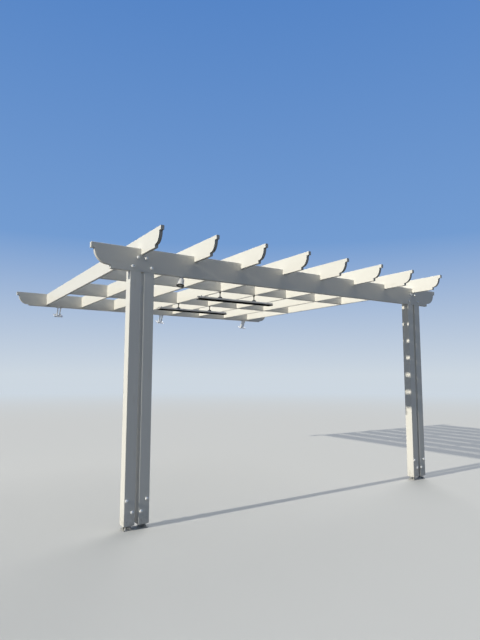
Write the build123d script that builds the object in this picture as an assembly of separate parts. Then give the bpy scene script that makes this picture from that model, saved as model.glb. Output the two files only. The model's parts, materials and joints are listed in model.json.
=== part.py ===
from build123d import *
import os
from math import cos, radians, sin

# A painted timber pergola: a front beam on two twin posts, a rear beam carried over a roof on
# brackets, rafters that run between them and past the front beam, and two rows of noggins.
# The origin is under the middle of the left post's base plate. X runs along the beams to the
# right, Y runs back to the rear beam and Z runs up. Lengths are in millimetres.

# Layout of the frame
post_centres = 4200          # from the middle of one twin post to the middle of the other
rafter_count = 8             # the first and last stand over the twin posts
frame_depth = 4335           # front face of the front beam to front face of the rear beam
beam_height = 2440           # underside of the legs to underside of the front beam
beam_overhang = 500          # end of each beam past the middle of a post
front_left_overhang = 520    # the front beam runs a little further out on the left
rafter_overhang = 470        # nose of a rafter past the front face of the front beam
rafter_trench = 64           # how far a rafter is notched down over the front beam
noggin_rows = 2              # rows of noggins, in equal bays between the two beams

# Planed timber sizes
leg_width = 110
leg_depth = 110
leg_arris = 6
beam_depth = 240
rear_beam_depth = 220
beam_thickness = 45
rafter_depth = 190
rafter_thickness = 35
noggin_depth = 190
noggin_thickness = 35
plank_arris = 3
fit_gap = 0.3                # working clearance round a board that is let in between others

# Moulded ends: a square nose, a step back, a quarter round and a nick above the lower edge
beam_nose = 55
beam_step = 33
beam_reach = 145
beam_drop = 145
beam_nick = 15
rafter_nose = 42
rafter_step = 32
rafter_reach = 92
rafter_drop = 115
rafter_nick = 8

# Steel shoes under the posts, each a base plate with a seat and a hidden blade for each leg
stand_off = 45               # underside of the base plate to underside of the legs
base_plate_length = 240
base_plate_width = 90
base_plate_thickness = 10
seat_size = 84
seat_thickness = 6
blade_width = 80
blade_thickness = 8
blade_height = 300           # how far the blade runs up inside a leg
anchor_spacing_x = 200
anchor_spacing_y = 60
anchor_hole_radius = 7

# Brackets that carry the rear beam above a tiled roof
bracket_count = 3
bracket_inset = 202          # first bracket, in from the middle of the left post
bracket_pitch = 1947         # from one bracket to the next
bracket_width = 100
bracket_plate = 6
bracket_upstand = 84         # height of the tab behind the rear beam
bracket_bar_spacing = 44
bracket_bar_width = 50
bracket_bar_thickness = 10
bracket_bar_length = 150     # from the beam's underside to the foot, square to the roof
roof_pitch = 30
foot_hole_spacing = 86       # the four holes stand on a square
foot_hole_radius = 4
foot_side_margin = 32        # from the holes' centres out to the edges beside the bars
foot_end_margin = 17         # from the holes' centres out to the upper and lower edges
foot_thickness = 6

# Strip heaters hung under the two middle rafters, each a housing on a radiating panel
heater_inset = 1460          # middle of a heater from the facing side of the nearer beam
heater_shift = 20            # how far the heaters hang left of the middle between their rafters
heater_length = 1280
panel_width = 110
panel_thickness = 12
panel_corner = 5
flute_count = 5              # grooves along the underside of the radiating panel
flute_spacing = 18
flute_width = 11
flute_depth = 4
flute_end = 26               # plain margin of the panel past the ends of the grooves
housing_inset = 3            # step in from the panel's edge to the housing
housing_height = 30
housing_side = 15            # upright part of the housing's long sides
housing_crown = 74           # width of the flat top of the housing
housing_corner = 6
end_cap_thickness = 5
end_cap_lip = 1.5            # how far an end cap stands out round the housing
gland_from_end = 48
gland_radius = 9
gland_height = 16
hanger_drop = 93             # underside of the rafters to the top of the housing
hanger_rod_radius = 7
hanger_flange_radius = 17
hanger_flange_height = 13
hanger_shoe_size = 46
hanger_shoe_height = 20
hanger_shoe_slope = 6        # bevel round the top of the shoe

# Small adjustable spotlight under the front beam
spot_from_post = 443
spot_canopy_radius = 22
spot_canopy_height = 9
spot_stem_radius = 8
spot_stem_length = 12
spot_crown_radius = 32
spot_crown_slope = 9         # bevel round the top of the head
spot_head_radius = 37        # where the head meets the flare of the rim
spot_head_length = 80
spot_rim_radius = 41
spot_rim_height = 9
spot_lens_radius = 33
spot_lens_thickness = 4
spot_lens_recess = 6
spot_tilt = 22
spot_turn = 45               # to the left of straight out in front

# Levels and places worked out from the sizes above
rafter_spacing = post_centres / (rafter_count - 1)
leg_gap = rafter_thickness + 2 * fit_gap
leg_offset = (leg_gap + leg_width) / 2
front_face = -leg_depth / 2
front_beam_back = front_face + beam_thickness
rear_beam_front = front_face + frame_depth
beam_under = stand_off + beam_height
beam_top = beam_under + beam_depth
rafter_under = beam_top - rafter_trench
rafter_top = rafter_under + rafter_depth
rear_beam_under = rafter_top - rear_beam_depth
noggin_pitch = frame_depth / (noggin_rows + 1)
row_places = [front_face + beam_thickness / 2 + (row + 1) * noggin_pitch for row in range(noggin_rows)]
middle_rafter = rafter_count // 2
housing_top = rafter_under - hanger_drop
heater_under = housing_top - housing_height - panel_thickness


def moulded_end(depth, nose, step, reach, drop, nick):
    """Lines of a moulded end from the top corner at the tip down to the lower edge."""
    shoulder = depth - nose
    sill = shoulder - drop
    curve = EllipticalCenterArc((step + reach, shoulder), reach, drop, start_angle=180, arc_size=90)
    return [
        Line((0, depth), (0, shoulder)),
        Line((0, shoulder), (step, shoulder)),
        curve,
        Line((step + reach, sill), (step + reach + nick, sill)),
        Line((step + reach + nick, sill), (step + reach + nick, 0)),
    ]


def ease_long_edges(plank, axis, shortest):
    """Plane a narrow bevel along the long edges of a plank."""
    long_edges = plank.edges().filter_by(axis).filter_by(lambda edge: edge.length > shortest)
    return chamfer(long_edges, plank_arris)


def make_beam(length, depth):
    """A beam along X from its left tip at the origin, moulded at both ends, front face on Y = 0."""
    left = moulded_end(depth, beam_nose, beam_step, beam_reach, beam_drop, beam_nick)
    end_length = beam_step + beam_reach + beam_nick
    right = [edge.mirror(Plane.YZ).translate((length, 0, 0)) for edge in left]
    top = Line((0, depth), (length, depth))
    under = Line((end_length, 0), (length - end_length, 0))
    outline = make_face(Curve() + left + right + [top, under])
    beam = extrude(Plane.XZ * outline, -beam_thickness)
    return ease_long_edges(beam, Axis.X, beam_reach)


def make_rafter():
    """A rafter along Y with its moulded nose in front, trenched over the front beam, at X = 0."""
    nose = moulded_end(rafter_depth, rafter_nose, rafter_step, rafter_reach, rafter_drop, rafter_nick)
    nose_end = rafter_step + rafter_reach + rafter_nick
    length = rafter_overhang + frame_depth
    top = Line((0, rafter_depth), (length, rafter_depth))
    back = Line((length, rafter_depth), (length, 0))
    under = Line((length, 0), (nose_end, 0))
    outline = make_face(Curve() + nose + [top, back, under])
    plank = extrude(Plane.YZ * outline, rafter_thickness / 2, both=True)
    trench_width = beam_thickness + 2 * fit_gap
    trench = Box(rafter_thickness, trench_width, rafter_trench,
                 align=(Align.CENTER, Align.MIN, Align.MIN))
    plank -= Pos(0, rafter_overhang - fit_gap, 0) * trench
    plank = ease_long_edges(plank, Axis.Y, rafter_reach)
    return Pos(0, front_face - rafter_overhang, rafter_under) * plank


def make_leg():
    """One leg of a twin post: rebated for the beam at the top and slotted for a blade below."""
    height = beam_height + beam_depth
    leg = extrude(RectangleRounded(leg_width, leg_depth, leg_arris), height)
    rebate = Box(leg_width, beam_thickness, beam_depth, align=(Align.CENTER, Align.MIN, Align.MAX))
    leg -= Pos(0, front_face, height) * rebate
    slot = Box(blade_width + 2 * fit_gap, blade_thickness + 2 * fit_gap, blade_height + fit_gap,
               align=(Align.CENTER, Align.CENTER, Align.MIN))
    return Pos(0, 0, stand_off) * (leg - slot)


def make_shoe():
    """Base plate with anchor holes, and a seat and an upright blade for each of the two legs."""
    shoe = Box(base_plate_length, base_plate_width, base_plate_thickness,
               align=(Align.CENTER, Align.CENTER, Align.MIN))
    holes = GridLocations(anchor_spacing_x, anchor_spacing_y, 2, 2)
    shoe -= holes * Cylinder(anchor_hole_radius, 4 * base_plate_thickness)
    for side in (-1, 1):
        seat = Box(seat_size, seat_size, seat_thickness, align=(Align.CENTER, Align.CENTER, Align.MAX))
        blade = Box(blade_width, blade_thickness, stand_off + blade_height - base_plate_thickness,
                    align=(Align.CENTER, Align.CENTER, Align.MIN))
        shoe += Pos(side * leg_offset, 0, stand_off) * seat
        shoe += Pos(side * leg_offset, 0, base_plate_thickness) * blade
    return shoe


def make_roof_bracket():
    """Plate and tab for the rear beam, two bars square to the roof and a sloping foot plate."""
    plate = Box(bracket_width, beam_thickness + bracket_plate, bracket_plate,
                align=(Align.CENTER, Align.MIN, Align.MAX))
    tab = Box(bracket_width, bracket_plate, bracket_upstand + bracket_plate,
              align=(Align.CENTER, Align.MIN, Align.MIN))
    saddle = plate + Pos(0, beam_thickness, -bracket_plate) * tab
    bar_box = Box(bracket_bar_thickness, bracket_bar_width, bracket_bar_length + bracket_bar_width,
                  align=(Align.CENTER, Align.CENTER, Align.MIN))
    bars = GridLocations(bracket_bar_spacing, 0, 2, 1) * bar_box
    foot_width = foot_hole_spacing + 2 * foot_side_margin
    foot_length = foot_hole_spacing + 2 * foot_end_margin
    foot = Box(foot_width, foot_length, foot_thickness, align=(Align.CENTER, Align.CENTER, Align.MAX))
    foot = chamfer(foot.edges().filter_by(Axis.Z), foot_thickness)
    foot -= GridLocations(foot_hole_spacing, foot_hole_spacing, 2, 2) * Cylinder(
        foot_hole_radius, 4 * foot_thickness)
    lower = foot + bars
    tilt = radians(roof_pitch)
    foot_back = bracket_bar_length * sin(tilt)
    foot_down = bracket_bar_length * cos(tilt)
    lower = Pos(0, beam_thickness / 2 + foot_back, -foot_down) * Rot(roof_pitch, 0, 0) * lower
    above_plate = Box(2 * bracket_width, 4 * beam_thickness, 2 * bracket_bar_length,
                      align=(Align.CENTER, Align.CENTER, Align.MIN))
    lower -= Pos(0, 0, -bracket_plate / 2) * above_plate
    return Pos(0, rear_beam_front, rear_beam_under) * (saddle + lower)


def make_heater_housing():
    """Folded housing with sloping shoulders, an end cap at each end and a cable gland on top."""
    half, crown = panel_width / 2 - housing_inset, housing_crown / 2
    outline = Polyline((-half, 0), (half, 0), (half, housing_side), (crown, housing_height),
                       (-crown, housing_height), (-half, housing_side), close=True)
    section = make_face(outline)
    upper = section.vertices().filter_by(lambda corner: corner.Y > housing_side / 2)
    section = fillet(upper, housing_corner)
    cap_section = offset(section, end_cap_lip) & Pos(0, housing_height) * Rectangle(
        2 * panel_width, 2 * housing_height)
    reach = heater_length / 2 - housing_inset
    housing = extrude(Plane.YZ * section, reach, both=True)
    for side in (-1, 1):
        cap = extrude(Plane.YZ * cap_section, end_cap_thickness / 2, both=True)
        housing += Pos(side * (reach - end_cap_thickness / 2), 0, 0) * cap
    gland = Cylinder(gland_radius, gland_height, align=(Align.CENTER, Align.CENTER, Align.MIN))
    gland = chamfer(gland.edges().sort_by(Axis.Z)[-1], gland_radius / 3)
    return Pos(0, 0, panel_thickness) * (housing + Pos(gland_from_end - reach, 0, housing_height) * gland)


def make_heater_panel():
    """Black radiating panel under the housing, with square grooves along its lower face."""
    panel = extrude(RectangleRounded(heater_length, panel_width, panel_corner), panel_thickness)
    flute = Box(heater_length - 2 * flute_end, flute_width, flute_depth,
                align=(Align.CENTER, Align.CENTER, Align.MIN))
    return panel - GridLocations(0, flute_spacing, 1, flute_count) * flute


def make_hanger():
    """Flange under a rafter, a rod and a bevelled shoe on the housing, hung from Z = 0."""
    flange = Cylinder(hanger_flange_radius, hanger_flange_height,
                      align=(Align.CENTER, Align.CENTER, Align.MAX))
    flange = chamfer(flange.edges().sort_by(Axis.Z)[0], hanger_flange_height / 3)
    rod = Cylinder(hanger_rod_radius, hanger_drop, align=(Align.CENTER, Align.CENTER, Align.MAX))
    shoe = Box(hanger_shoe_size, hanger_shoe_size, hanger_shoe_height,
               align=(Align.CENTER, Align.CENTER, Align.MIN))
    shoe = chamfer(shoe.faces().sort_by(Axis.Z)[-1].edges(), hanger_shoe_slope)
    return flange + rod + Pos(0, 0, -hanger_drop) * shoe


def make_spot_head():
    """Tapered lamp head with a bevelled crown, a flared rim and a recessed mouth, mouth on Z = 0."""
    outline = Polyline((0, spot_head_length), (spot_crown_radius, spot_head_length),
                       (spot_head_radius, 2 * spot_rim_height), (spot_rim_radius, spot_rim_height),
                       (spot_rim_radius, 0), (spot_lens_radius, 0), (spot_lens_radius, spot_lens_recess),
                       (0, spot_lens_recess), close=True)
    section = make_face(outline)
    crown = section.vertices().sort_by(Axis.Y)[-2:].sort_by(Axis.X)[-1]
    section = chamfer([crown], spot_crown_slope)
    return revolve(Plane.XZ * section, Axis.Z)


def export(name, shape):
    """Write one named piece."""
    export_step(shape, f"parts/{name}.step")


os.makedirs("parts", exist_ok=True)

# Twin posts and their shoes
for post, post_x, outer_side in (("left", 0, -1), ("right", post_centres, 1)):
    export(f"{post}_post_outer", Pos(post_x + outer_side * leg_offset, 0, 0) * make_leg())
    export(f"{post}_post_inner", Pos(post_x - outer_side * leg_offset, 0, 0) * make_leg())
    export(f"{post}_post_shoe", Pos(post_x, 0, 0) * make_shoe())

# Beams
front_beam = make_beam(front_left_overhang + post_centres + beam_overhang, beam_depth)
export("front_beam", Pos(-front_left_overhang, front_face, beam_under) * front_beam)
rear_beam = make_beam(post_centres + 2 * beam_overhang, rear_beam_depth)
export("rear_beam", Pos(-beam_overhang, rear_beam_front, rear_beam_under) * rear_beam)

# Rafters
rafter = make_rafter()
for place in range(rafter_count):
    export(f"rafter_{place + 1}", Pos(place * rafter_spacing, 0, 0) * rafter)

# Noggins, a board between each pair of rafters in each row
noggin = Box(rafter_spacing - rafter_thickness, noggin_thickness, noggin_depth,
             align=(Align.CENTER, Align.CENTER, Align.MAX))
noggin = ease_long_edges(noggin, Axis.X, noggin_depth)
for row, row_y in enumerate(row_places):
    for bay in range(rafter_count - 1):
        bay_middle = (bay + 0.5) * rafter_spacing
        export(f"row_{row + 1}_noggin_{bay + 1}", Pos(bay_middle, row_y, rafter_top) * noggin)

# Roof brackets along the rear beam
bracket = make_roof_bracket()
for number in range(bracket_count):
    bracket_x = bracket_inset + number * bracket_pitch
    export(f"roof_bracket_{number + 1}", Pos(bracket_x, 0, 0) * bracket)

# Strip heaters and their hangers, one as far from the front beam as the other from the rear beam
heater_x = (middle_rafter - 0.5) * rafter_spacing - heater_shift
heater_places = (front_beam_back + heater_inset, rear_beam_front - heater_inset)
for number, heater_y in enumerate(heater_places):
    place = Pos(heater_x, heater_y, heater_under)
    export(f"heater_{number + 1}_housing", place * make_heater_housing())
    export(f"heater_{number + 1}_panel", place * make_heater_panel())
    hangers = [Pos((middle_rafter - 1 + side) * rafter_spacing, heater_y, rafter_under) * make_hanger()
               for side in (0, 1)]
    export(f"heater_{number + 1}_hangers", Compound(hangers))

# Spotlight: canopy and stem are one piece with the head, the lens sits in its mouth
spot_top = beam_under - spot_canopy_height - spot_stem_length
spot_y = front_face + beam_thickness / 2
head_place = (Pos(spot_from_post, spot_y, spot_top) * Rot(0, 0, -spot_turn) * Rot(-spot_tilt, 0, 0)
              * Pos(0, 0, -spot_head_length))
canopy = Cylinder(spot_canopy_radius, spot_canopy_height, align=(Align.CENTER, Align.CENTER, Align.MAX))
stem = Cylinder(spot_stem_radius, spot_stem_length + spot_canopy_height + spot_crown_slope,
                align=(Align.CENTER, Align.CENTER, Align.MAX))
mounting = Pos(spot_from_post, spot_y, beam_under) * (canopy + stem)
export("spotlight_body", mounting + head_place * make_spot_head())
lens = Cylinder(spot_lens_radius - fit_gap, spot_lens_thickness,
                align=(Align.CENTER, Align.CENTER, Align.MAX))
export("spotlight_lens", head_place * Pos(0, 0, spot_lens_recess) * lens)
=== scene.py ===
import json
import math

import bmesh
import bpy
import numpy as np
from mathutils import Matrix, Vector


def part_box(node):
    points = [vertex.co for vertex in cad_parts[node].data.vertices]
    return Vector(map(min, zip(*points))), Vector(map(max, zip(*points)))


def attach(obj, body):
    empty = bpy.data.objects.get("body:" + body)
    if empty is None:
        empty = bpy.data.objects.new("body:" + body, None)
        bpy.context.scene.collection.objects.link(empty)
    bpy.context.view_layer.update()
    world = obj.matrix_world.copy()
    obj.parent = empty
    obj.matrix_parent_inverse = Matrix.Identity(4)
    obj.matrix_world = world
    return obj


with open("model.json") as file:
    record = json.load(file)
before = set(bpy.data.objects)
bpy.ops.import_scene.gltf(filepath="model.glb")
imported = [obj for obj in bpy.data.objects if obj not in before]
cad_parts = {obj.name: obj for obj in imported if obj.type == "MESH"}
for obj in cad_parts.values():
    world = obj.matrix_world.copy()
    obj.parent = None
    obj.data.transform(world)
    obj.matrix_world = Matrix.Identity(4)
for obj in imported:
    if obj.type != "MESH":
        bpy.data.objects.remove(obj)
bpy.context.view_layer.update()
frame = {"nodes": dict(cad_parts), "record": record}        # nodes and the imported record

# White painted timber pergola on twin posts, dressed round its imported solids. Lengths are in metres,
# X runs along the beams, Y back to the rear beam and Z up from the underside of the post shoes.
posts = ("left", "right")
sameLevel = 0.0005           # points this near to a height count as lying on it
mounts = {mount["name"]: mount for mount in frame["record"]["mounts"]}
print("frame loaded:", len(frame["nodes"]), "solids")


def corners(nodeName):
    # Lowest and highest corner of a solid, as arrays.
    lowest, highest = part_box(nodeName)
    return np.array(lowest), np.array(highest)


def pointsOf(nodeName):
    # All corners of a solid's mesh, one row each.
    mesh = frame["nodes"][nodeName].data
    points = np.empty(3 * len(mesh.vertices), np.float32)
    mesh.vertices.foreach_get("co", points)
    return points.reshape(-1, 3).astype(float)


def topMiddle(nodeName):
    # Middle of the points that lie level with a solid's top.
    points = pointsOf(nodeName)
    return points[points[:, 2] > points[:, 2].max() - sameLevel].mean(axis=0)


def numbered(stem):
    # Names of the solids that start with a stem, in order.
    return sorted(name for name in frame["nodes"] if name.startswith(stem))


# Meshes worked out as whole arrays

def anglesRound(count):
    # Even angles round a circle: a_j = 2 pi j / count.
    return 2 * np.pi * np.arange(count) / count


def gridFaces(rows, columns):
    # Quads of a grid whose columns close into a ring: corners (i, j), (i, j+1), (i+1, j+1), (i+1, j).
    row = np.arange(rows - 1)[:, None] * columns
    column = np.arange(columns)
    following = (column + 1) % columns
    quads = [row + column, row + following, row + columns + following, row + columns + column]
    return np.stack(quads, axis=-1).reshape(-1, 4)


def turned(radii, heights, sides):
    # Surface of revolution: row i, column j is (r cos a_j, r sin a_j, h_i), where r is the row's radius
    # r_i, or r_ij where each row has a radius for every side.
    angle = anglesRound(sides)
    radius = np.asarray(radii, float).reshape(len(heights), -1)
    height = np.asarray(heights, float)[:, None] + 0 * angle
    points = np.stack([radius * np.cos(angle), radius * np.sin(angle), height], axis=-1)
    return points.reshape(-1, 3), gridFaces(len(radius), sides)


def carried(path, profile, upward):
    # Profile carried round a closed path: point i, j is path_i + u_ij n_i + v_ij upward, where n_i is
    # square to the path's own direction and to upward.
    along = np.roll(path, -1, axis=0) - np.roll(path, 1, axis=0)
    along /= np.linalg.norm(along, axis=1, keepdims=True)
    sideways = np.cross(along, upward)
    points = path[:, None] + profile[..., :1] * sideways[:, None] + profile[..., 1:] * np.asarray(upward)
    rows, columns = points.shape[:2]
    return points.reshape(-1, 3), gridFaces(rows + 1, columns) % (rows * columns)


def axesAlong(direction, level=(1.0, 0.0, 0.0)):
    # Rows are the X, Y and Z of a shape whose Z is turned to the direction, with X nearest to level.
    upright = np.asarray(direction, float) / np.linalg.norm(direction)
    across = np.asarray(level, float) - np.dot(level, upright) * upright
    across /= np.linalg.norm(across)
    return np.array([across, np.cross(upright, across), upright])


def copies(shape, places, axes=np.eye(3)):
    # One copy of a shape at each place: point p becomes place + p . axes.
    points, faces = shape
    places = np.asarray(places, float).reshape(-1, 1, 3)
    step = np.arange(len(places))[:, None, None] * len(points)
    return (places + points @ axes).reshape(-1, 3), (faces + step).reshape(-1, 4)


def joined(*shapes):
    # Several shapes as one, each shape's corner numbers moved on by the points before it.
    offsets = np.cumsum([0] + [len(points) for points, faces in shapes[:-1]])
    points = np.concatenate([points for points, faces in shapes])
    return points, np.concatenate([faces + offset for (_, faces), offset in zip(shapes, offsets)])


def stacked(*shapes):
    # Shapes on one axis, each given with the height that it starts at.
    return joined(*[(points + (0, 0, height), faces) for (points, faces), height in shapes])


mergeDistance = 2e-6         # points of a pole, which lie on one another


def addPiece(name, shape, material, creaseAngle=32):
    # Mesh of one shape that rides on the frame, its poles merged and its creases kept sharp.
    points, faces = shape
    mesh = bpy.data.meshes.new(name)
    mesh.from_pydata(points.tolist(), [], faces.tolist())
    work = bmesh.new()
    work.from_mesh(mesh)
    bmesh.ops.remove_doubles(work, verts=work.verts, dist=mergeDistance)
    bmesh.ops.recalc_face_normals(work, faces=work.faces)
    work.to_mesh(mesh)
    work.free()
    mesh.shade_smooth()
    mesh.set_sharp_from_angle(angle=math.radians(creaseAngle))
    mesh.materials.append(material)
    piece = bpy.data.objects.new(name, mesh)
    bpy.context.scene.collection.objects.link(piece)
    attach(piece, "root")


# Node helpers for the finishes

def addNode(tree, kind, values, **settings):
    # Adds a shader node; values gives each input a number or another node's output.
    made = tree.nodes.new("ShaderNode" + kind)
    for key, value in settings.items():
        setattr(made, key, value)
    for key, value in values.items():
        if isinstance(value, bpy.types.NodeSocket):
            tree.links.new(value, made.inputs[key])
        else:
            made.inputs[key].default_value = value
    return made.outputs[0]


def startFinish(name, **constants):
    # New material with a Principled shader; constants are set on the shader's own sockets.
    material = bpy.data.materials.new(name)
    material.use_nodes = True
    tree = material.node_tree
    shader = next(node for node in tree.nodes if node.type == "BSDF_PRINCIPLED")
    for key, value in constants.items():
        shader.inputs[key].default_value = value
    return material, tree, shader


def objectPlace(tree):
    # Object coordinates, which are metres in the frame that all pieces share.
    return tree.nodes.new("ShaderNodeTexCoord").outputs["Object"]


def placeOn(tree, scale, offset=(0, 0, 0)):
    # The same, scaled so that a pattern's features take their real size.
    return addNode(tree, "Mapping", {"Vector": objectPlace(tree), "Scale": scale, "Location": offset})


def noiseOn(tree, scale, detail, roughness=0.5):
    # Noise from 0 to 1 whose features are about 1 / scale long on each axis.
    vector = placeOn(tree, scale)
    values = {"Vector": vector, "Scale": 1.0, "Detail": detail, "Roughness": roughness}
    return addNode(tree, "TexNoise", values)


def evenNoiseOn(tree, scale, detail, roughness=0.5):
    # Noise whose features are equally long on all axes.
    return noiseOn(tree, (scale, scale, scale), detail, roughness)


def between(tree, value, low, high, toLow=0.0, toHigh=1.0):
    # Value taken from low..high to toLow..toHigh and held there.
    values = {"Value": value, "From Min": low, "From Max": high, "To Min": toLow, "To Max": toHigh}
    return addNode(tree, "MapRange", values)


def times(tree, first, second):
    # Product of two values, each a number or a node's output.
    return addNode(tree, "Math", {0: first, 1: second}, operation="MULTIPLY")


def plus(tree, first, second):
    # Sum of two values.
    return addNode(tree, "Math", {0: first, 1: second}, operation="ADD")


def axisOf(tree, vector, axis):
    # One of the three numbers of a vector, by its place 0, 1 or 2.
    return addNode(tree, "SeparateXYZ", {0: vector}).node.outputs[axis]


def facing(tree, axis):
    # How far the true surface faces along an axis, from -1 to 1.
    return axisOf(tree, tree.nodes.new("ShaderNodeNewGeometry").outputs["True Normal"], axis)


def tinted(tree, factor, first, second):
    # Colour mixed from the first to the second by the factor.
    mix = tree.nodes.new("ShaderNodeMix")
    mix.data_type = "RGBA"
    for socket, value in ((mix.inputs[0], factor), (mix.inputs[6], first), (mix.inputs[7], second)):
        if isinstance(value, bpy.types.NodeSocket):
            tree.links.new(value, socket)
        else:
            socket.default_value = value
    return mix.outputs[2]


def raised(tree, pattern, bump, below=None):
    # Bump given as its real height, in metres, and its strength, on top of another bump.
    height, strength = bump
    values = {"Height": pattern, "Distance": height, "Strength": strength}
    if below is not None:
        values["Normal"] = below
    return addNode(tree, "Bump", values)


def grey(level, warmth):
    # Grey whose red is raised and whose blue is lowered by the warmth.
    return (level * (1 + warmth), level, level * (1 - warmth), 1.0)


# Painted timber: brushed acrylic over planed softwood. A pattern is given by its features to the metre
# across the grain and along it, by the range that is stretched to its share, and by its bump.
timberPaint = {
    "white": (0.822, 0.807, 0.768, 1.0),
    "thin": (0.762, 0.744, 0.696, 1.0),        # where a coat lies thinner over the grain
    "knot": (0.700, 0.665, 0.580, 1.0),        # resin that yellows the paint over a knot
    "paintedEndShade": (0.275, 0.300, 0.325, 1.0),      # bluish grey painted shade for the rafters' sawn ends
    "soil": (0.330, 0.290, 0.240, 1.0),        # splashes on the feet of the legs
    "dust": (0.560, 0.550, 0.520, 1.0),        # what settles on upward faces
    "refraction": 1.47,
    "grain": (420.0, 7.0),
    "grainBump": (0.00022, 0.70),
    "strokes": (110.0, 1.6),
    "strokeBump": (0.00035, 0.70),
    "strokeRange": (0.56, 0.80),
    "strokeShare": 0.40,
    "mottle": (5.0, 1.1),
    "mottleRange": (0.35, 0.75),
    "mottleShare": 0.55,
    "knots": (9.0, 2.2),
    "knotRange": (0.05, 0.17),                 # from the middle of a knot to its rim
    "knotShare": 0.30,
    "knotBump": (0.00040, 0.35),
    "boardShare": 0.45,                        # how far one board may differ from the next
    "rings": (26.0, 0.0),                      # growth rings on sawn ends
    "heart": (0.31, 0.17, 0.53),               # where they start, off the board
    "ringRange": (0.2, 0.9),
    "ringShares": (0.10, 0.38),
    "ringBump": (0.00025, 0.60),
    "sawnRange": (0.90, 0.98),                 # how squarely an end faces along the grain
    "paintedEndShadeRange": (0.20, 0.55),
    "splashes": (34, 34, 26),
    "splashRange": (0.40, 0.66),
    "soilTop": 0.30,
    "soilBottom": 0.03,
    "soilShare": 0.60,
    "specks": 46,
    "speckRange": (0.40, 0.72),
    "upwardRange": (0.75, 0.95),
    "dustShare": 0.30,
    "glossRange": (0.30, 0.72),
    "rough": (0.36, 0.50),
    "dirtRough": 0.5,                          # what dust and soil each add to the roughness
}


def paintTimber(name, along, paintedEndShadeShare=0.0):
    # Finish for boards whose grain follows one axis: 0 for X, 1 for Y, 2 for Z. Their sawn ends get a
    # bluish grey painted shade by a share of 0 to 1.
    look = timberPaint
    material, tree, shader = startFinish(name, IOR=look["refraction"])
    axes = np.eye(3)[along]

    def scales(part):
        across, lengthwise = look[part]
        return tuple(across + (lengthwise - across) * axes)

    grain = noiseOn(tree, scales("grain"), detail=4.0, roughness=0.6)
    strokes = noiseOn(tree, scales("strokes"), detail=2.0)
    mottle = noiseOn(tree, scales("mottle"), detail=3.0)
    knotPlace = placeOn(tree, scales("knots"))
    knots = addNode(tree, "TexVoronoi", {"Vector": knotPlace, "Scale": 1.0, "Randomness": 1.0})
    knots = between(tree, knots, *look["knotRange"], 1.0, 0.0)

    # Sawn ends: rings round a heart that lies off the board, where the paint soaked in unevenly
    endwise = addNode(tree, "Math", {0: facing(tree, along)}, operation="ABSOLUTE")
    sawn = between(tree, endwise, *look["sawnRange"])
    heart = placeOn(tree, scales("rings"), offset=look["heart"])
    waves = {"Vector": heart, "Scale": 1.0, "Distortion": 1.8, "Detail": 2.0, "Detail Scale": 0.6}
    rings = addNode(tree, "TexWave", waves, wave_type="RINGS", rings_direction="SPHERICAL")

    thinner = between(tree, mottle, *look["mottleRange"], 0.0, look["mottleShare"])
    colour = tinted(tree, thinner, look["white"], look["thin"])
    brushed = between(tree, strokes, *look["strokeRange"], 0.0, look["strokeShare"])
    colour = tinted(tree, brushed, colour, look["thin"])
    colour = tinted(tree, times(tree, knots, look["knotShare"]), colour, look["knot"])
    board = tree.nodes.new("ShaderNodeObjectInfo").outputs["Random"]
    colour = tinted(tree, times(tree, board, look["boardShare"]), colour, look["thin"])
    ringed = times(tree, sawn, between(tree, rings, *look["ringRange"], *look["ringShares"]))
    colour = tinted(tree, ringed, colour, look["knot"])
    # Painted shade: sawn ends are darkened towards a bluish grey, in place of the shade that the rafters'
    # front ends are in.
    if paintedEndShadeShare > 0:
        paintedEndShadeMask = between(tree, endwise, *look["paintedEndShadeRange"], 0.0, paintedEndShadeShare)
        colour = tinted(tree, paintedEndShadeMask, colour, look["paintedEndShade"])

    # Soil splashed on the feet, and dust on what faces up
    height = axisOf(tree, objectPlace(tree), 2)
    splashes = noiseOn(tree, look["splashes"], detail=5.0, roughness=0.7)
    low = between(tree, height, look["soilTop"], look["soilBottom"])
    soil = times(tree, between(tree, splashes, *look["splashRange"]),
                 times(tree, times(tree, low, low), look["soilShare"]))
    colour = tinted(tree, soil, colour, look["soil"])
    specks = evenNoiseOn(tree, look["specks"], detail=6.0, roughness=0.7)
    settled = between(tree, facing(tree, 2), *look["upwardRange"], 0.0, look["dustShare"])
    dust = times(tree, settled, between(tree, specks, *look["speckRange"]))
    colour = tinted(tree, dust, colour, look["dust"])
    tree.links.new(colour, shader.inputs["Base Color"])

    gloss = between(tree, strokes, *look["glossRange"], *look["rough"])
    dirt = plus(tree, times(tree, dust, look["dirtRough"]), times(tree, soil, look["dirtRough"]))
    tree.links.new(plus(tree, gloss, dirt), shader.inputs["Roughness"])
    bumps = raised(tree, strokes, look["strokeBump"])
    bumps = raised(tree, grain, look["grainBump"], bumps)
    bumps = raised(tree, knots, look["knotBump"], bumps)
    bumps = raised(tree, times(tree, sawn, rings), look["ringBump"], bumps)
    tree.links.new(bumps, shader.inputs["Normal"])
    return material


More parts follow.
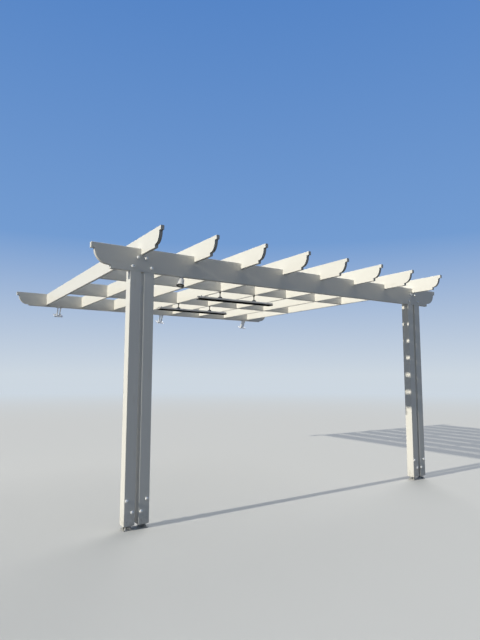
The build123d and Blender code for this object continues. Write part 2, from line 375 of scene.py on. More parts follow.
# Hot-dip galvanised steel, weathered to a dull grey: shoes, brackets, bolts and screws
galvanising = {
    "bright": (0.830, 0.835, 0.835, 1.0),
    "dull": (0.540, 0.555, 0.570, 1.0),
    "bloom": (0.760, 0.765, 0.760, 1.0),
    "bloomRange": (0.52, 0.80),
    "bloomShare": 0.45,
    "clouds": 28.0,              # patches to the metre
    "cloudRange": (0.30, 0.80),
    "fine": 900.0,
    "fineBump": (0.00006, 0.60),
    "refraction": 1.5,
    "soil": (0.330, 0.315, 0.285, 1.0),          # dried on what stands near the ground
    "soilTop": 0.075,
    "soilBottom": 0.02,
    "soilShare": 0.80,
    "soilRange": (0.25, 0.55),
    "soilLeast": 0.5,            # between the patches
    "soilRough": 0.45,
    "crystalRough": 0.16,        # how far crystals differ in roughness
}
steels = {
    "galvanised_plate": {"crystals": 75.0, "metallic": 0.35, "dullShare": 0.70, "rough": (0.34, 0.50)},
    "galvanised_bolts": {"crystals": 300.0, "metallic": 0.25, "dullShare": 0.12, "rough": (0.20, 0.32)},
}


def galvaniseSteel(name):
    # Crystals as Voronoi cells, each with its own grey and gloss, under cloudy bloom and low soil.
    look, steel = galvanising, steels[name]
    material, tree, shader = startFinish(name, Metallic=steel["metallic"], IOR=look["refraction"])
    place = placeOn(tree, (steel["crystals"],) * 3)
    cells = addNode(tree, "TexVoronoi", {"Vector": place, "Scale": 1.0}).node.outputs["Color"]
    cell = addNode(tree, "SeparateColor", {0: cells}).node.outputs[0]
    clouds = evenNoiseOn(tree, look["clouds"], detail=4.0)
    colour = tinted(tree, times(tree, cell, steel["dullShare"]), look["bright"], look["dull"])
    bloom = between(tree, clouds, *look["bloomRange"], 0.0, look["bloomShare"])
    colour = tinted(tree, bloom, colour, look["bloom"])
    height = axisOf(tree, objectPlace(tree), 2)
    low = between(tree, height, look["soilTop"], look["soilBottom"], 0.0, look["soilShare"])
    soil = times(tree, low, between(tree, clouds, *look["soilRange"], look["soilLeast"], 1.0))
    tree.links.new(tinted(tree, soil, colour, look["soil"]), shader.inputs["Base Color"])
    rough = between(tree, clouds, *look["cloudRange"], *steel["rough"])
    rough = plus(tree, rough, times(tree, cell, look["crystalRough"]))
    rough = plus(tree, rough, times(tree, soil, look["soilRough"]))
    tree.links.new(rough, shader.inputs["Roughness"])
    fine = evenNoiseOn(tree, look["fine"], detail=2.0)
    tree.links.new(raised(tree, fine, look["fineBump"]), shader.inputs["Normal"])
    return material


# Enamelled and moulded finishes of the heaters and the spotlight. Orange peel is given by its features to
# the metre and its bump, and level is the shader's specular level.
enamels = {
    "heater_housing": {"colour": grey(0.600, 0.01), "dusty": 0.25, "rough": (0.40, 0.52), "level": 0.50,
                       "peel": 900.0, "bump": (0.00005, 0.6)},
    "heater_panel": {"colour": grey(0.006, 0.02), "dusty": 0.01, "rough": (0.80, 0.92), "level": 0.06,
                     "peel": 500.0, "bump": (0.00008, 0.6)},
    "hanger_steel": {"colour": grey(0.030, 0.00), "dusty": 0.10, "rough": (0.46, 0.62), "level": 0.40,
                     "peel": 700.0, "bump": (0.00006, 0.6)},
    "spotlight_shell": {"colour": grey(0.800, 0.01), "dusty": 0.20, "rough": (0.28, 0.38), "level": 0.50,
                        "peel": 800.0, "bump": (0.00003, 0.6)},
    "dark_rubber": {"colour": grey(0.020, 0.00), "dusty": 0.10, "rough": (0.66, 0.80), "level": 0.30,
                    "peel": 600.0, "bump": (0.00008, 0.6)},
}
allEnamels = {
    "refraction": 1.5,
    "dust": (0.500, 0.490, 0.465, 1.0),
    "clouds": 9.0,               # patches to the metre
    "cloudRange": (0.42, 0.80),
    "glossRange": (0.30, 0.75),
    "upwardRange": (0.20, 0.95),
    "leastDust": 0.15,           # share on faces that look down
}


def enamel(name):
    # Sprayed coat: fine orange peel, a little variation in gloss, and dust that clouds the colour.
    look, shared = enamels[name], allEnamels
    constants = {"IOR": shared["refraction"], "Specular IOR Level": look["level"]}
    material, tree, shader = startFinish(name + "_coat", **constants)
    peel = evenNoiseOn(tree, look["peel"], detail=2.0)
    clouds = evenNoiseOn(tree, shared["clouds"], detail=5.0, roughness=0.65)
    settled = between(tree, facing(tree, 2), *shared["upwardRange"], shared["leastDust"], 1.0)
    share = times(tree, settled, between(tree, clouds, *shared["cloudRange"], 0.0, look["dusty"]))
    tree.links.new(tinted(tree, share, look["colour"], shared["dust"]), shader.inputs["Base Color"])
    rough = between(tree, clouds, *shared["glossRange"], *look["rough"])
    tree.links.new(rough, shader.inputs["Roughness"])
    tree.links.new(raised(tree, peel, look["bump"]), shader.inputs["Normal"])
    return material


# The spotlight's lens
lensLook = {
    # The lighter middle is partly the lens's own tone and partly painted light, brightened in place of the
    # light from the ground that its downward face gets.
    "middle": (0.610, 0.650, 0.560, 1.0),
    "edge": (0.018, 0.028, 0.022, 1.0),
    "refraction": 1.52,
    "rough": 0.07,
    "middleReach": 0.012,        # the lighter middle fades out between these two distances
    "edgeStart": 0.029,
    "stepWidth": 0.0030,
    "stepBump": (0.00016, 0.5),
}


def lensGlass():
    # Dark tinted glass with the round steps of a moulded lens: sin(2 pi distance / stepWidth). Its lighter
    # middle is partly the lens's own tone and partly painted light.
    look = lensLook
    constants = {"IOR": look["refraction"], "Roughness": look["rough"]}
    material, tree, shader = startFinish("spotlight_dark_glass", **constants)
    fromMiddle = {0: objectPlace(tree), 1: tuple(np.mean(corners("spotlight_lens"), axis=0))}
    distance = addNode(tree, "VectorMath", fromMiddle, operation="DISTANCE").node.outputs["Value"]
    turns = times(tree, distance, 2 * math.pi / look["stepWidth"])
    steps = addNode(tree, "Math", {0: turns}, operation="SINE")
    outward = between(tree, distance, look["middleReach"], look["edgeStart"])
    tree.links.new(tinted(tree, outward, look["middle"], look["edge"]), shader.inputs["Base Color"])
    tree.links.new(raised(tree, steps, look["stepBump"]), shader.inputs["Normal"])
    return material


beamPaint = paintTimber("painted_timber_along_x", 0)
# The rafters' sawn ends get a painted shade in place of the shade that their front ends are in.
rafterPaint = paintTimber("painted_timber_along_y", 1, paintedEndShadeShare=0.6)
legPaint = paintTimber("painted_timber_along_z", 2)
plateSteel = galvaniseSteel("galvanised_plate")
boltSteel = galvaniseSteel("galvanised_bolts")
finishes = {name: enamel(name) for name in enamels}
finishes["spotlight_glass"] = lensGlass()
print("finishes made:", len(bpy.data.materials))

nodeFinish = (
    ("_beam", beamPaint), ("_noggin_", beamPaint), ("rafter_", rafterPaint), ("_post_outer", legPaint),
    ("_post_inner", legPaint), ("_shoe", plateSteel), ("roof_bracket", plateSteel),
    ("_housing", finishes["heater_housing"]), ("_panel", finishes["heater_panel"]),
    ("_hangers", finishes["hanger_steel"]), ("spotlight_body", finishes["spotlight_shell"]),
    ("spotlight_lens", finishes["spotlight_glass"]),
)
for nodeName, solid in frame["nodes"].items():
    for slot in solid.material_slots:
        slot.material = next(material for part, material in nodeFinish if part in nodeName)
print("solids dressed")


# Fasteners, each a profile turned about its own Z and seated a little into what it clamps

fasteners = {
    "sides": 24,
    "sunk": 0.0006,
    "domeRows": 9,
    "buttonRows": 6,
    "threadPitch": 0.00175,
    "threadDepth": 0.0007,
    "rowsToPitch": 6,
    "washerThickness": 0.0025,
    "nutShare": 1.6,             # a nut's thickness in radii of its bolt
    "boltInNut": 0.0005,
    "flangeShare": 0.25,         # of a flanged screw's height
    "hexagonFrom": 0.20,
}
down = np.array((0.0, 0.0, -1.0))
upward = -down
forward = np.array((0.0, -1.0, 0.0))         # out of the front face
backward = -forward
fourCorners = [(sideX, sideY) for sideX in (-1, 1) for sideY in (-1, 1)]


def domedHead(radius, height, rim):
    # Cup head: a short rim, then r = radius cos t and z = rim + (height - rim) sin t.
    turn = np.linspace(0, np.pi / 2, fasteners["domeRows"])
    seat, widest = 0.97 * radius, 0.3 * rim      # narrower at the seat, at full width from here up
    radii = np.concatenate([[0, seat, radius], radius * np.cos(turn)])
    heights = np.concatenate([[-fasteners["sunk"], -fasteners["sunk"], widest],
                              rim + (height - rim) * np.sin(turn)])
    return turned(radii, heights, fasteners["sides"])


def roundWasher(radius, thickness):
    # Disc with its upper rim eased by a little of its thickness.
    eased = 0.15 * thickness
    return turned([0, radius, radius, radius - eased, 0],
                  [-fasteners["sunk"], -fasteners["sunk"], thickness - eased, thickness, thickness],
                  fasteners["sides"])


def hexNut(acrossFlats, thickness):
    # Six flats with both rims eased, as a turned surface of six sides.
    corner = acrossFlats / math.sqrt(3)
    eased = 0.90 * corner
    rim = 0.12 * thickness
    return turned([0, eased, corner, corner, eased, 0],
                  [0, 0, rim, thickness - rim, thickness, thickness], 6)


def threadedEnd(radius, length):
    # Bolt end: ridges r = radius - depth (1 - cos(2 pi z / pitch)) / 2, then a short point.
    pitch = fasteners["threadPitch"]
    height = np.linspace(0, length, int(round(length / pitch)) * fasteners["rowsToPitch"] + 1)
    ridge = (1 - np.cos(2 * np.pi * height / pitch)) / 2
    tip, tipRadius = length + 0.2 * radius, 0.8 * radius
    radii = np.concatenate([[0], radius - fasteners["threadDepth"] * ridge, [tipRadius, 0]])
    return turned(radii, np.concatenate([[0], height, [tip, tip]]), fasteners["sides"] // 2)


def nutStack(look):
    # Washer, nut and threaded end, one above the other, from a piece's own settings.
    washer = fasteners["washerThickness"]
    nut = fasteners["nutShare"] * look["boltRadius"]
    return stacked((roundWasher(look["washerRadius"], washer), 0.0),
                   (hexNut(look["acrossFlats"], nut), washer),
                   (threadedEnd(look["boltRadius"], look["threadShowing"]),
                    washer + nut - fasteners["boltInNut"]))


def hexScrew(look):
    # Flanged hexagon head from a piece's own settings: the flange, and the hexagon that rises out of it.
    flange = fasteners["flangeShare"] * look["screwHeight"]
    start = fasteners["hexagonFrom"] * look["screwHeight"]
    return stacked((roundWasher(look["screwFlange"], flange), 0.0),
                   (hexNut(look["screwFlats"], look["screwHeight"] - start), start))


def socketHead(radius, height, socket):
    # Button head r = radius cos t, z = height sin t, cut by a hexagon whose flats lie as far as the socket
    # from its middle, r(a) = socket / cos((a mod 60) - 30).
    angle = anglesRound(fasteners["sides"])
    hexagon = socket / np.cos(np.mod(angle, np.pi / 3) - np.pi / 6)
    lastTurn = math.acos(1.5 * socket / radius)
    turn = np.linspace(0, lastTurn, fasteners["buttonRows"])
    button = np.concatenate([[0, radius], radius * np.cos(turn)])[:, None] + 0 * angle
    lip, wallFoot, floor = 1.02 * height * math.sin(lastTurn), 0.35 * height, 0.30 * height
    radii = np.vstack([button, hexagon, 0.96 * hexagon, 0 * angle])
    heights = np.concatenate([[-fasteners["sunk"], -fasteners["sunk"]], height * np.sin(turn),
                              [lip, wallFoot, floor]])
    return turned(radii, heights, fasteners["sides"])


# Bolts through the twin posts: two to a leg at the beam and two at the foot
postBolts = {
    "headRadius": 0.0170,
    "headHeight": 0.0115,
    "headRim": 0.0028,
    "boltRadius": 0.006,
    "acrossFlats": 0.019,
    "washerRadius": 0.016,
    "threadShowing": 0.0105,
    "fromLegMiddle": 0.028,
    "upperOnBeam": 0.144,        # above the beam's underside, on the side towards the gap
    "lowerOnBeam": 0.049,
    "upperOnFoot": 0.230,        # above the legs' underside, on the side away from the gap
    "lowerOnFoot": 0.120,
}


def boltPlaces():
    # X and Z of each bolt: pairs stand askew about the leg's middle, towards and away from the gap.
    look = postBolts
    beamUnder = corners("front_beam")[0][2]
    places = []
    for post in posts:
        legs = [post + "_post_outer", post + "_post_inner"]
        outer, inner = (np.mean(corners(leg), axis=0)[0] for leg in legs)
        legUnder = corners(legs[0])[0][2]
        for own, other in ((outer, inner), (inner, outer)):
            toGap = math.copysign(look["fromLegMiddle"], other - own)
            places += [(own + toGap, beamUnder + look["upperOnBeam"]),
                       (own - toGap, beamUnder + look["lowerOnBeam"]),
                       (own - toGap, legUnder + look["upperOnFoot"]),
                       (own + toGap, legUnder + look["lowerOnFoot"])]
    return places


def addPostBolts():
    # Heads on the front face, and washers, nuts and ends of the same bolts on the rear one.
    frontFace, rearFace = (corner[1] for corner in corners("left_post_outer"))
    head = domedHead(postBolts["headRadius"], postBolts["headHeight"], postBolts["headRim"])
    front = copies(head, [(x, frontFace, z) for x, z in boltPlaces()], axesAlong(forward))
    addPiece("post_bolt_heads", front, boltSteel)
    rear = copies(nutStack(postBolts), [(x, rearFace, z) for x, z in boltPlaces()], axesAlong(backward))
    addPiece("post_bolt_nuts", rear, boltSteel)


# Anchors through the base plates
anchors = {
    "boltRadius": 0.006,
    "acrossFlats": 0.019,
    "washerRadius": 0.0118,
    "threadShowing": 0.00875,
    "plateEnd": 0.001,           # points this near to the plate's end give its thickness
}


def addAnchors():
    # Nuts and ends over the anchor holes, which the record places and spaces.
    places = []
    for post in posts:
        pattern = mounts[post + "_anchor_holes"]
        reach = np.array([pattern["dims"]["spacing_x_mm"], pattern["dims"]["spacing_y_mm"], 0]) / 2000
        shoe = pointsOf(post + "_post_shoe")
        plateEnd = shoe[shoe[:, 0] < shoe[:, 0].min() + anchors["plateEnd"]]
        centre = np.array(pattern["pos_m"]) + (0, 0, plateEnd[:, 2].max())
        places += [centre + reach * (sideX, sideY, 0) for sideX, sideY in fourCorners]
    addPiece("anchor_nuts", copies(nutStack(anchors), places), boltSteel)


# Screws and nails that hold the boards, painted over
boardFixings = {
    "screwFlats": 0.008,
    "screwHeight": 0.0048,
    "screwFlange": 0.0078,
    "screwLevels": (0.28, 0.72),     # shares of the rafter's depth
    "nailRadius": 0.0034,
    "nailHeight": 0.0009,
    "nailRim": 0.00027,
    "nailFromEnd": 0.019,
    "nailLevels": (0.24, 0.76),
    "nailOverBeam": 0.028,
}


def addBoardFixings():
    # Screws through the rear beam into each rafter, and nails at the front beam and the noggins' ends.
    look = boardFixings
    beamBack = corners("rear_beam")[1][1]
    beamLow, beamHigh = corners("front_beam")
    screws, sideNails = [], []
    for name in numbered("rafter_"):
        low, high = corners(name)
        screws += [((low[0] + high[0]) / 2, beamBack, low[2] + level * (high[2] - low[2]))
                   for level in look["screwLevels"]]
        sideNails.append((low[0], (beamLow[1] + beamHigh[1]) / 2, beamHigh[2] + look["nailOverBeam"]))
    heads = copies(hexScrew(look), screws, axesAlong(backward))
    addPiece("rear_beam_screws", heads, beamPaint)

    nailPlaces = []
    for name in numbered("row_"):
        low, high = corners(name)
        nailPlaces += [(x, low[1], low[2] + level * (high[2] - low[2]))
                       for x in (low[0] + look["nailFromEnd"], high[0] - look["nailFromEnd"])
                       for level in look["nailLevels"]]
    nail = domedHead(look["nailRadius"], look["nailHeight"], look["nailRim"])
    nails = joined(copies(nail, nailPlaces, axesAlong(forward)),
                   copies(nail, sideNails, axesAlong((-1, 0, 0), level=(0, 1, 0))))
    addPiece("board_nails", nails, beamPaint)


addPostBolts()
addAnchors()
addBoardFixings()
print("bolts, anchors, screws and nails added")


# Roof brackets: screws, rubber washers under the foot screws, and weld beads round the bars
brackets = {
    "thickness": 0.006,          # of the plate, the tab and the foot
    "barSpacing": 0.044,
    "barWidth": 0.050,
    "barThickness": 0.010,
    "barSquareness": 9,          # of the path that a bead takes round a bar
    "beadLeg": 0.0042,
    "beadRipple": 0.0030,        # length of one ripple along a bead
    "rippleShare": 1 / 9,        # how far a ripple stands out, as a share of the bead's leg
    "beadHollow": 1.3,           # power that draws the bead's face in between its two legs
    "beadSunk": 0.0010,
    "beadPoints": 120,
    "beadRows": 6,
    "tabSides": 0.030,
    "tabLevels": (0.024, 0.062),
    "plateSides": 0.0415,
    "screwFlats": 0.008,
    "screwHeight": 0.0052,
    "screwFlange": 0.0068,
    "rubberRadius": 0.0088,
    "rubberHeight": 0.0026,
    "shankRadius": 0.0033,
}


def squaredRing(centre, across, along, count, squareness):
    # Superellipse centre + across c|c|^(2/k-1) + along s|s|^(2/k-1), with c = cos t, s = sin t and
    # k the squareness, taken again at even steps of its length. Gives the points and the length.
    turn = np.linspace(0, 2 * np.pi, 8 * count + 1)
    c, s = (np.sign(wave) * np.abs(wave) ** (2 / squareness) for wave in (np.cos(turn), np.sin(turn)))
    path = centre + c[:, None] * across + s[:, None] * along
    reach = np.concatenate([[0], np.cumsum(np.linalg.norm(np.diff(path, axis=0), axis=1))])
    even = np.linspace(0, reach[-1], count, endpoint=False)
    return np.stack([np.interp(even, reach, numbers) for numbers in path.T], axis=1), reach[-1]


def weldBead(centre, normal, halfWidth, halfLength):
    # Bead in the corner between a bar and its plate: r(s) = leg (1 + cos(2 pi s / ripple) / 9) and
    # u = r cos(f)^1.3, v = r sin(f)^1.3 across it, for f from 0 to a right angle.
    look = brackets
    across = np.array((halfWidth, 0.0, 0.0))
    along = np.cross(normal, (halfLength, 0.0, 0.0))
    path, length = squaredRing(centre, across, along, look["beadPoints"], look["barSquareness"])
    ripples = round(length / look["beadRipple"])
    wave = np.cos(ripples * anglesRound(len(path)))
    radius = look["beadLeg"] * (1 + look["rippleShare"] * wave)
    turn = np.linspace(0, np.pi / 2, look["beadRows"])
    arc = np.stack([np.cos(turn), np.sin(turn)], axis=-1).clip(0, 1) ** look["beadHollow"]
    corner = np.full((len(path), 1, 2), -look["beadSunk"])
    profile = np.concatenate([corner, radius[:, None, None] * arc], axis=1)
    return carried(path, profile, normal)


def addBrackets():
    # Works up from each roof foot, whose place and slope the record gives.
    look = brackets
    beamLow, beamHigh = corners("rear_beam")
    plateUnder = beamLow[2] - look["thickness"]
    tabBack = beamHigh[1] + look["thickness"]
    plateMiddle = (beamLow[1] + beamHigh[1]) / 2
    screw = hexScrew(look)
    rubber = roundWasher(look["rubberRadius"], look["rubberHeight"])
    shank = roundWasher(look["shankRadius"], look["thickness"])
    halfWidth, halfLength = look["barThickness"] / 2, look["barWidth"] / 2
    screws, rubbers, beads = [], [], []
    for number in range(1, 1 + len(numbered("roof_bracket_"))):
        foot, holes = mounts[f"roof_foot_{number}"], mounts[f"roof_foot_{number}_holes"]
        x = foot["pos_m"][0]
        normal = -np.array(foot["axis"])
        footTop = np.array(foot["pos_m"]) + look["thickness"] * normal
        tab = [(x + side * look["tabSides"], tabBack, beamLow[2] + level)
               for side in (-1, 1) for level in look["tabLevels"]]
        plate = [(x + side * look["plateSides"], plateMiddle, plateUnder) for side in (-1, 1)]
        reach = holes["dims"]["pcd_mm"] / 2000 / math.sqrt(2)
        downSlope = np.cross(normal, (1.0, 0.0, 0.0))
        feet = np.array([footTop + (sideX * reach, 0, 0) + sideY * reach * downSlope
                         for sideX, sideY in fourCorners])
        turnedUp = axesAlong(normal)
        screws += [copies(screw, tab, axesAlong(backward)), copies(screw, plate, axesAlong(down)),
                   copies(screw, feet + look["rubberHeight"] * normal, turnedUp),
                   copies(shank, feet - look["thickness"] * normal, turnedUp)]
        rubbers.append(copies(rubber, feet, turnedUp))
        toPlate = (plateUnder - footTop[2]) / normal[2]
        for side in (-1, 1):
            barFoot = footTop + (side * look["barSpacing"] / 2, 0, 0)
            barTop = barFoot + toPlate * normal
            beads += [weldBead(barFoot, normal, halfWidth, halfLength),
                      weldBead(barTop, down, halfWidth, halfLength / normal[2])]
    addPiece("bracket_screws", joined(*screws), boltSteel)
    addPiece("bracket_rubbers", joined(*rubbers), finishes["dark_rubber"])
    addPiece("bracket_welds", joined(*beads), boltSteel, creaseAngle=70)


addBrackets()
print("roof brackets detailed")


# Heaters: end cap screws, gland nut and seal, nuts on the hanger rods and screws through their shoes
heaters = {
    "capScrewRadius": 0.0036,
    "capScrewHeight": 0.0024,
    "capScrewSocket": 0.0015,
    "capScrewPlaces": ((-0.040, 0.010), (0.040, 0.010), (0.0, 0.021)),   # across, and above the panel
    "glandFlats": 0.024,
    "glandNut": 0.0055,
    "sealRadius": 0.0056,
    "sealHeight": 0.0034,
    "sealRim": 0.0010,
    "rodFlats": 0.021,
    "rodNut": 0.0068,
    "flangeHeight": 0.013,
    "shoeHeight": 0.020,
    "shoeScrewRadius": 0.0030,
    "shoeScrewHeight": 0.0024,
    "shoeScrewSocket": 0.00126,
    "shoeScrewReach": 0.0128,
}


def housingFixings(name):
    # Cap screws at both ends of a housing, and the nut and seal of its cable gland.
    look = heaters
    low, high = corners(name)
    middle = (low + high) / 2
    capScrew = socketHead(look["capScrewRadius"], look["capScrewHeight"], look["capScrewSocket"])
    capScrews = []
    for x, outward in ((low[0], -1), (high[0], 1)):
        places = [(x, middle[1] + across, low[2] + above) for across, above in look["capScrewPlaces"]]
        capScrews.append(copies(capScrew, places, axesAlong((outward, 0, 0), level=(0, 1, 0))))
    gland = topMiddle(name)
    housingTop = corners(name.replace("_housing", "_hangers"))[0][2]
    nut = copies(hexNut(look["glandFlats"], look["glandNut"]), [(gland[0], gland[1], housingTop)])
    seal = copies(domedHead(look["sealRadius"], look["sealHeight"], look["sealRim"]), [gland])
    return joined(*capScrews), nut, seal


def hangerFixings(name):
    # Nuts at both ends of each hanger's rod, and four screws through its shoe.
    look = heaters
    low, high = corners(name)
    y = (low[1] + high[1]) / 2
    points = pointsOf(name)
    onLeft = points[:, 0] < (low[0] + high[0]) / 2
    shoeTop = low[2] + look["shoeHeight"]
    rodTop = high[2] - look["flangeHeight"] - look["rodNut"]
    reach = look["shoeScrewReach"]
    nuts, screws = [], []
    for side in (onLeft, ~onLeft):
        x = (points[side, 0].min() + points[side, 0].max()) / 2
        nuts += [(x, y, rodTop), (x, y, shoeTop)]
        screws += [(x + sideX * reach, y + sideY * reach, shoeTop) for sideX, sideY in fourCorners]
    screw = socketHead(look["shoeScrewRadius"], look["shoeScrewHeight"], look["shoeScrewSocket"])
    return copies(hexNut(look["rodFlats"], look["rodNut"]), nuts), copies(screw, screws)


def addHeaterFixings():
    names = numbered("heater_")
    housings = [name for name in names if name.endswith("_housing")]
    hangers = [name for name in names if name.endswith("_hangers")]
    capScrews, glandNuts, seals = zip(*[housingFixings(name) for name in housings])
    rodNuts, shoeScrews = zip(*[hangerFixings(name) for name in hangers])
    addPiece("heater_cap_screws", joined(*capScrews), finishes["heater_housing"])
    addPiece("heater_gland_nuts", joined(*glandNuts), finishes["dark_rubber"])
    addPiece("heater_gland_seals", joined(*seals), finishes["dark_rubber"])
    addPiece("hanger_nuts", joined(*rodNuts), finishes["hanger_steel"])
    addPiece("hanger_shoe_screws", joined(*shoeScrews), finishes["hanger_steel"])


addHeaterFixings()
print("heaters detailed")


# Spotlight: knuckle under the canopy, knurled knob, lens gasket, bezel round the mouth and small screws
spotlight = {
    "lensThickness": 0.004,
    "mouthFromLens": 0.002,      # from the outer face of the lens to the rim
    "canopyHeight": 0.009,
    "stemLength": 0.012,
    "knuckleRadius": 0.0098,
    "knuckleHalf": 0.0115,
    "knuckleEase": 0.0012,
    "knobRadius": 0.0078,
    "knobHeight": 0.0085,
    "knobRidges": 12,
    "knobRidge": 0.07,           # share of its radius
    "pivotRadius": 0.0056,
    "pivotHeight": 0.0030,
    "pivotSocket": 0.0022,
    "gasketRadius": 0.0296,
    "gasketHalf": 0.0030,
    "gasketHeight": 0.0017,
    "bezelRadius": 0.0373,
    "bezelHalf": 0.0041,
    "bezelHeight": 0.0016,
    "roundSides": 72,
    "ringSection": 12,
    "ringSquareness": 4,
    "rimScrewCircle": 0.037,
    "rimScrewTurns": (30, 150, 270),
    "rimScrewRadius": 0.0022,
    "rimScrewHeight": 0.00154,
    "rimScrewSocket": 0.000924,
    "canopyScrewCircle": 0.0155,
    "canopyScrewRadius": 0.0028,
    "canopyScrewHeight": 0.00196,
    "canopyScrewSocket": 0.001176,
}


def roundBar(radius, half, ease):
    # Short bar about Z from -half to half with eased ends.
    return turned([0, radius - ease, radius, radius, radius - ease, 0],
                  [-half, -half, ease - half, half - ease, half, half], fasteners["sides"])


def knurledKnob(radius, height):
    # Knob whose rim is r(a) = radius (1 + ridge cos(ridges a)), eased at its top.
    angle = anglesRound(spotlight["roundSides"])
    rim = radius * (1 + spotlight["knobRidge"] * np.cos(spotlight["knobRidges"] * angle))
    top, shoulder = 0.86 * radius, 0.82 * height
    rows = [0 * rim, rim, rim, top + 0 * rim, 0 * rim]
    return turned(np.vstack(rows), [0, 0, shoulder, height, height], len(angle))


def ringAbout(centre, axis, radius, half, height):
    # Flat ring about an axis: a squared profile u = half c|c|^(2/k-1), v = height s|s|^(2/k-1), with k
    # the squareness, carried round the circle centre + radius (cos t x + sin t y).
    axes = axesAlong(axis)
    turn = anglesRound(spotlight["roundSides"])[:, None]
    path = centre + radius * (np.cos(turn) * axes[0] + np.sin(turn) * axes[1])
    section = anglesRound(spotlight["ringSection"])
    ring = np.stack([half * np.cos(section), height * np.sin(section)], axis=-1)
    ring *= np.abs(ring / (half, height) + 1e-9) ** (2 / spotlight["ringSquareness"] - 1)   # never 0
    return carried(path, np.repeat(ring[None], len(path), axis=0), axes[2])


def lensPlane():
    # Middle of the lens and the way that it faces, which is the flattest direction of its points.
    lens = pointsOf("spotlight_lens")
    flattest = np.linalg.svd(lens - lens.mean(axis=0), full_matrices=False)[2][2]
    return (lens.min(axis=0) + lens.max(axis=0)) / 2, flattest * math.copysign(1, -flattest[2])


def addKnuckle(canopy, axis):
    # Bar across the stem, square to the way that the lamp faces, with a knob and a pivot at its ends.
    look = spotlight
    along = np.cross(upward, axis)
    along /= np.linalg.norm(along)
    middle = canopy + (look["canopyHeight"] + look["stemLength"] / 2) * down
    end = look["knuckleHalf"] * along
    outward, inward = axesAlong(along, level=(0, 0, 1)), axesAlong(-along, level=(0, 0, 1))
    bar = roundBar(look["knuckleRadius"], look["knuckleHalf"], look["knuckleEase"])
    addPiece("spotlight_knuckle", copies(bar, [middle], outward), finishes["spotlight_shell"])
    knob = knurledKnob(look["knobRadius"], look["knobHeight"])
    pivot = socketHead(look["pivotRadius"], look["pivotHeight"], look["pivotSocket"])
    ends = joined(copies(knob, [middle + end], outward), copies(pivot, [middle - end], inward))
    addPiece("spotlight_knob", ends, finishes["dark_rubber"])


def addSpotlightFittings():
    # Rings at the mouth, and screws on its rim and on the canopy.
    look = spotlight
    canopy = topMiddle("spotlight_body")
    lensMiddle, axis = lensPlane()
    addKnuckle(canopy, axis)
    lensFace = lensMiddle + axis * look["lensThickness"] / 2
    gasket = ringAbout(lensFace, axis, look["gasketRadius"], look["gasketHalf"], look["gasketHeight"])
    addPiece("spotlight_gasket", gasket, finishes["dark_rubber"])
    rim = lensFace + axis * look["mouthFromLens"]
    bezel = ringAbout(rim, axis, look["bezelRadius"], look["bezelHalf"], look["bezelHeight"])
    addPiece("spotlight_bezel", bezel, finishes["hanger_steel"])

    mouth = axesAlong(axis)
    turn = np.radians(look["rimScrewTurns"])[:, None]
    outward = np.cos(turn) * mouth[0] + np.sin(turn) * mouth[1]
    rimPlaces = rim + axis * look["bezelHeight"] + look["rimScrewCircle"] * outward
    rimScrew = socketHead(look["rimScrewRadius"], look["rimScrewHeight"], look["rimScrewSocket"])
    under = canopy + look["canopyHeight"] * down
    canopyPlaces = [under + (side * look["canopyScrewCircle"], 0, 0) for side in (-1, 1)]
    canopyScrew = socketHead(look["canopyScrewRadius"], look["canopyScrewHeight"],
                             look["canopyScrewSocket"])
    screws = joined(copies(rimScrew, rimPlaces, mouth), copies(canopyScrew, canopyPlaces, axesAlong(down)))
    addPiece("spotlight_screws", screws, boltSteel)


addSpotlightFittings()
print("spotlight detailed")


# Floor, light and camera

surroundings = {
    "horizon": (0.610, 0.680, 0.750, 1.0),       # backdrop colours by the height looked at
    "middle": (0.175, 0.335, 0.640, 1.0),
    "top": (0.090, 0.230, 0.560, 1.0),
    "middleHeight": 0.26,        # sines of the angles above the level
    "topHeight": 0.66,
    "floor": (0.655, 0.650, 0.640, 1.0),
    "floorBounce": (0.055, 0.053, 0.050, 1.0),   # what the floor gives back to the undersides
    "floorReach": 160.0,
    "floorSides": 64,
    "fadeStart": 9.0,
    "fadeEnd": 38.0,
    "skyFill": (0.258, 0.310, 0.388, 1.0),
}
keyLight = {
    "strength": 3.30,            # low and small, so the rafters leave squares of light on the right post
    "colour": (1.0, 0.955, 0.815),
    "softness": 0.7,             # angle that the lamp fills, in degrees
    "elevation": 22.1,
    "bearing": 181.8,            # degrees from the beams' right end round towards the rear
}
softLight = {
    "strength": 1.40,
    "colour": (1.0, 0.985, 0.960),
    "softness": 40.0,
    "elevation": 35.0,
    "bearing": 40.0,
}
photoCamera = {
    "place": (-1.833, -4.665, 1.468),
    "turn": 0.5773,              # to the right of the line to the rear beam, in radians
    "tilt": 0.1098,              # upwards
    "roll": -0.0021,
    "focalPixels": 493.16,
    "imageHeight": 640,
    "sensor": 36.0,
    "farthest": 400,
}


def seenDirectly(tree):
    # 1 for camera, glossy and transmitted rays, 0 for the rays that carry light between surfaces.
    path = tree.nodes.new("ShaderNodeLightPath").outputs
    seen = addNode(tree, "Math", {0: path["Is Camera Ray"], 1: path["Is Glossy Ray"]}, operation="MAXIMUM")
    return addNode(tree, "Math", {0: seen, 1: path["Is Transmission Ray"]}, operation="MAXIMUM")


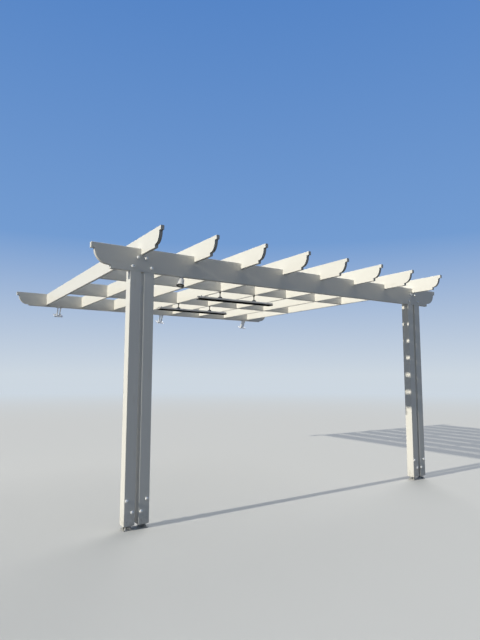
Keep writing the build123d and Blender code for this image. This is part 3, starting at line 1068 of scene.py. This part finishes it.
def addFloor():
    # Level disc that fades into the backdrop's lowest colour far out, so that no horizon shows.
    points, faces = turned([0.0, surroundings["floorReach"]], [0.0, 0.0], surroundings["floorSides"])
    mesh = bpy.data.meshes.new("floor")
    mesh.from_pydata(points.tolist(), [], faces[:, ::-1].tolist())
    mesh.validate()
    floor = bpy.data.objects.new("floor", mesh)
    bpy.context.scene.collection.objects.link(floor)
    material = bpy.data.materials.new("pale_floor")
    material.use_nodes = True
    tree = material.node_tree
    tree.nodes.clear()
    seen = seenDirectly(tree)
    shade = tinted(tree, seen, surroundings["floorBounce"], surroundings["floor"])
    matt = addNode(tree, "BsdfDiffuse", {"Color": shade})
    beyond = addNode(tree, "Emission", {"Color": surroundings["horizon"], "Strength": 1.0})
    outward = addNode(tree, "VectorMath", {0: objectPlace(tree)}, operation="LENGTH").node.outputs["Value"]
    fade = between(tree, outward, surroundings["fadeStart"], surroundings["fadeEnd"])
    fade.node.interpolation_type = "SMOOTHSTEP"
    surface = addNode(tree, "MixShader", {0: times(tree, fade, seen), 1: matt, 2: beyond})
    output = tree.nodes.new("ShaderNodeOutputMaterial")
    tree.links.new(surface, output.inputs["Surface"])
    mesh.materials.append(material)


def addWorld():
    # The backdrop goes from horizon to middle to top colour with the height that a ray looks at.
    world = bpy.data.worlds.new("studio")
    world.use_nodes = True
    tree = world.node_tree
    tree.nodes.clear()
    height = axisOf(tree, tree.nodes.new("ShaderNodeTexCoord").outputs["Generated"], 2)
    lower = between(tree, height, 0.0, surroundings["middleHeight"])
    higher = between(tree, height, surroundings["middleHeight"], surroundings["topHeight"])
    backdrop = tinted(tree, lower, surroundings["horizon"], surroundings["middle"])
    backdrop = tinted(tree, higher, backdrop, surroundings["top"])
    colour = tinted(tree, seenDirectly(tree), surroundings["skyFill"], backdrop)
    background = addNode(tree, "Background", {"Color": colour, "Strength": 1.0})
    output = tree.nodes.new("ShaderNodeOutputWorld")
    tree.links.new(background, output.inputs["Surface"])
    bpy.context.scene.world = world


def addLamp(name, look):
    # Distant lamp whose own Z points back at where it stands: up by the elevation, round by the bearing.
    light = bpy.data.lights.new(name, "SUN")
    light.energy = look["strength"]
    light.color = look["colour"]
    light.angle = math.radians(look["softness"])
    lamp = bpy.data.objects.new(name, light)
    lamp.rotation_euler = (0, math.radians(90 - look["elevation"]), math.radians(look["bearing"]))
    bpy.context.scene.collection.objects.link(lamp)


def addCamera():
    # Stands where the photo was taken from; the lens is given in pixels of the image's height.
    view = bpy.data.cameras.new("photo_view")
    view.sensor_width = photoCamera["sensor"]
    view.lens = photoCamera["focalPixels"] / photoCamera["imageHeight"] * photoCamera["sensor"]
    view.clip_end = photoCamera["farthest"]
    camera = bpy.data.objects.new("photo_view", view)
    camera.location = photoCamera["place"]
    camera.rotation_euler = (math.pi / 2 + photoCamera["tilt"], photoCamera["roll"], -photoCamera["turn"])
    bpy.context.scene.collection.objects.link(camera)
    bpy.context.scene.camera = camera


addFloor()
addWorld()
addLamp("key_light", keyLight)
addLamp("soft_light", softLight)
addCamera()
bpy.context.scene.view_settings.view_transform = "Standard"
print("floor, light and camera set")
